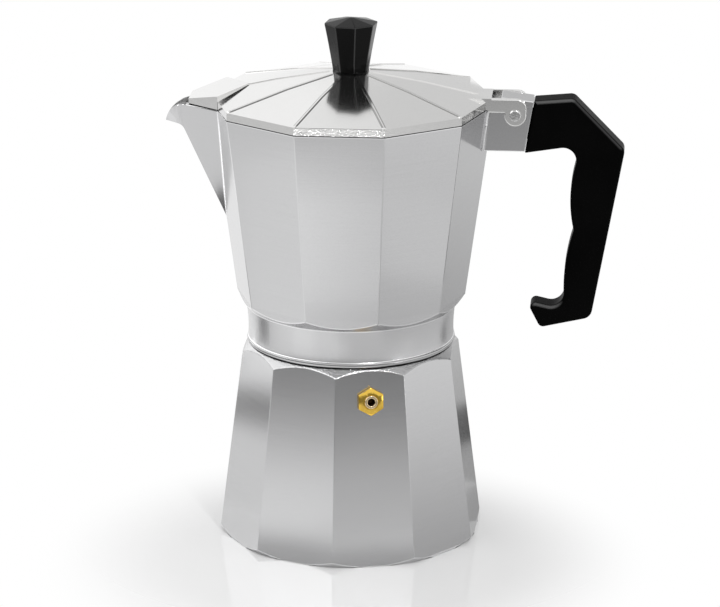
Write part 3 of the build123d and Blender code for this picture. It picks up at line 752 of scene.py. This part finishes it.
# what the bare metal mirrors: edges as (out, up), bearing and sweep, then one tone, or two that fade along out or x
cards = {
    "tableFarLeft": {"edges": ((0.38, 0.001), (1.3, 0.001)), "bearing": -192.0, "sweep": 34.0,
                     "along": "out", "fade": (0.36, 0.80), "tones": (0.91, 0.55)},
    "tableLeft": {"edges": ((0.36, 0.001), (1.3, 0.001)), "bearing": -158.0, "sweep": 48.0,
                  "along": "out", "fade": (0.36, 0.72), "tones": (0.97, 0.15)},
    "tableFront": {"edges": ((0.36, 0.001), (1.3, 0.001)), "bearing": -110.0, "sweep": 70.0,
                   "along": "out", "fade": (0.36, 0.68), "tones": (0.95, 0.12)},
    "tableMiddle": {"edges": ((0.13, 0.001), (0.36, 0.001)), "bearing": -112.0, "sweep": 59.0,
                    "along": "x", "fade": (-0.055, 0.0), "tones": (1.0, 0.76)},
    "tableRight": {"edges": ((0.04, 0.001), (0.60, 0.001)), "bearing": -53.0, "sweep": 93.0,
                   "along": "out", "fade": (0.06, 0.45), "tones": (0.54, 0.93)},
    "tableBack": {"edges": ((0.04, 0.001), (0.60, 0.001)), "bearing": 40.0, "sweep": 57.0,
                  "along": "out", "fade": (0.06, 0.45), "tones": (0.36, 0.74)},
    "tableFarRight": {"edges": ((0.60, 0.001), (1.0, 0.001)), "bearing": -53.0, "sweep": 41.0,
                      "along": "out", "fade": (0.5, 1.0), "tones": (0.6, 0.55)},
    "glowLeft": {"edges": ((0.13, 0.001), (0.36, 0.001)), "bearing": -150.0, "sweep": 26.0, "tone": 1.12},
    "wallFront": {"edges": ((1.0, 0.0), (1.0, 0.24)), "bearing": -190.0, "sweep": 150.0, "tone": 0.26},
    "backRight": {"edges": ((0.75, 0.22), (0.75, 1.4)), "bearing": 20.0, "sweep": 92.0,
                  "along": "x", "fade": (-0.19, 0.05), "tones": (1.0, 0.68)},
    "bandLeft": {"edges": ((0.135, 0.024), (0.208, 0.026)), "bearing": 160.0, "sweep": 18.0,
                 "along": "out", "fade": (0.135, 0.178), "tones": (0.75, 0.12)},
    "lineLeft": {"edges": ((0.16, 0.039), (0.197, 0.041)), "bearing": 158.5, "sweep": 2.5, "tone": 0.05},
    "floorLeft": {"edges": ((0.09, 0.001), (0.38, 0.001)), "bearing": 145.0, "sweep": 47.0, "tone": 0.91},
    "footRight": {"edges": ((0.04, 0.002), (0.075, 0.002)), "bearing": 0.0, "sweep": 40.0,
                  "along": "out", "fade": (0.04, 0.08), "tones": (0.36, 0.42)},
    "bandRight": {"edges": ((0.13, 0.001), (0.13, 0.018)), "bearing": 36.0, "sweep": 42.0, "tone": 0.12},
    "lineRight": {"edges": ((0.24, 0.002), (0.31, 0.002)), "bearing": 29.0, "sweep": 12.0, "tone": 0.10},
    "stripBack": {"edges": ((0.30, 0.001), (0.30, 0.060)), "bearing": 143.0, "sweep": 4.0, "tone": 3.0},
    "floorFarLeft": {"edges": ((0.345, 0.0015), (0.45, 0.0015)), "bearing": 146.0, "sweep": 22.0, "tone": 1.35},
    "skyLeft": {"edges": ((0.50, 0.12), (0.50, 0.75)), "bearing": 116.0, "sweep": 90.0, "tone": 1.9},
    "ceiling": {"edges": ((0.02, 0.75), (0.40, 0.75)), "bearing": -180.0, "sweep": 180.0, "tone": 0.6},
    "patchFront": {"edges": ((0.58, 0.0015), (0.80, 0.0015)), "bearing": -91.0, "sweep": 11.0, "tone": 0.42},
    "bandFront": {"edges": ((0.215, 0.0015), (0.315, 0.0015)), "bearing": -102.0, "sweep": 16.0,
                  "along": "x", "fade": (-0.055, 0.0), "tones": (1.17, 0.89)},
    "dimFront": {"edges": ((0.35, 0.0015), (0.56, 0.0015)), "bearing": -104.0, "sweep": 20.0,
                 "along": "out", "fade": (0.35, 0.56), "tones": (0.78, 0.38)},
    "bandFacet": {"edges": ((0.245, 0.0015), (0.325, 0.0015)), "bearing": -28.5, "sweep": 11.5, "tone": 0.87},
    "stripRight": {"edges": ((0.50, 0.03), (0.50, 0.11)), "bearing": -39.0, "sweep": 7.0, "tone": 4.0},
}
cardSteps = 24
potMiddle = Vector((0, 0, 0.15))


def cardShape(look):
    shape = bmesh.new()
    start = math.radians(look["bearing"])
    ends = [shape.verts.new((out * math.cos(start), out * math.sin(start), up)) for out, up in look["edges"]]
    edge = shape.edges.new(ends)
    bmesh.ops.spin(
        shape, geom=ends + [edge], cent=(0, 0, 0), axis=(0, 0, 1), angle=math.radians(look["sweep"]),
        steps=cardSteps, use_merge=False, use_duplicate=False,
    )
    shape.normal_update()
    shape.faces.ensure_lookup_table()
    middle = shape.faces[len(shape.faces) // 2]
    if middle.normal.dot(potMiddle - middle.calc_center_median()) < 0:
        bmesh.ops.reverse_faces(shape, faces=shape.faces)  # its painted side looks at the pot
    return shape


def cardTone(paint, look):
    if "tone" in look:
        return colour(look["tone"])
    place = paint.add("ShaderNodeTexCoord", out="Object")
    if look["along"] == "out":
        way = paint.add("ShaderNodeVectorMath", {"operation": "LENGTH"}, {0: place}, out="Value")
    else:
        way = paint.add("ShaderNodeSeparateXYZ", None, {"Vector": place}, out="X")
    low, high = look["fade"]
    share = paint.add("ShaderNodeMapRange", None, {"Value": way, "From Min": low, "From Max": high})
    near, far = look["tones"]
    return paint.blend(share, colour(near), colour(far))


def makeCard(name, look):
    card = show(name, toMesh(name, cardShape(look)))
    card.visible_camera = False
    card.visible_diffuse = False
    card.visible_shadow = False
    card.visible_transmission = False
    paint = newFinish(name + "Paint")
    glow = paint.add("ShaderNodeEmission", None, {"Color": cardTone(paint, look), "Strength": 1.0})
    away = paint.add("ShaderNodeNewGeometry", out="Backfacing")
    clear = paint.add("ShaderNodeBsdfTransparent")
    oneSided = paint.add("ShaderNodeMixShader", None, {0: away, 1: glow, 2: clear})
    paint.add("ShaderNodeOutputMaterial", None, {"Surface": oneSided})
    card.data.materials.append(paint.owner)


for name, card in cards.items():
    makeCard(name, card)

view = {"azimuth": 4.80, "elevation": 17.08, "distance": 1.4456, "aim": (0, 0, 0.10085), "sensor": 36.0,
        "lens": 179.613, "shift": (0.01251, -0.02349)}
cameraData = bpy.data.cameras.new("camera")
camera = show("camera", cameraData)
azimuth, elevation = math.radians(view["azimuth"]), math.radians(view["elevation"])
back = Vector((
    math.sin(azimuth) * math.cos(elevation), -math.cos(azimuth) * math.cos(elevation), math.sin(elevation)
))
camera.location = Vector(view["aim"]) + back * view["distance"]
camera.rotation_euler = (-back).to_track_quat("-Z", "Y").to_euler()
cameraData.sensor_width = view["sensor"]
cameraData.lens = view["lens"]
cameraData.shift_x, cameraData.shift_y = view["shift"]
bpy.context.scene.camera = camera
bpy.context.scene.view_settings.view_transform = "Standard"
print("stage set")
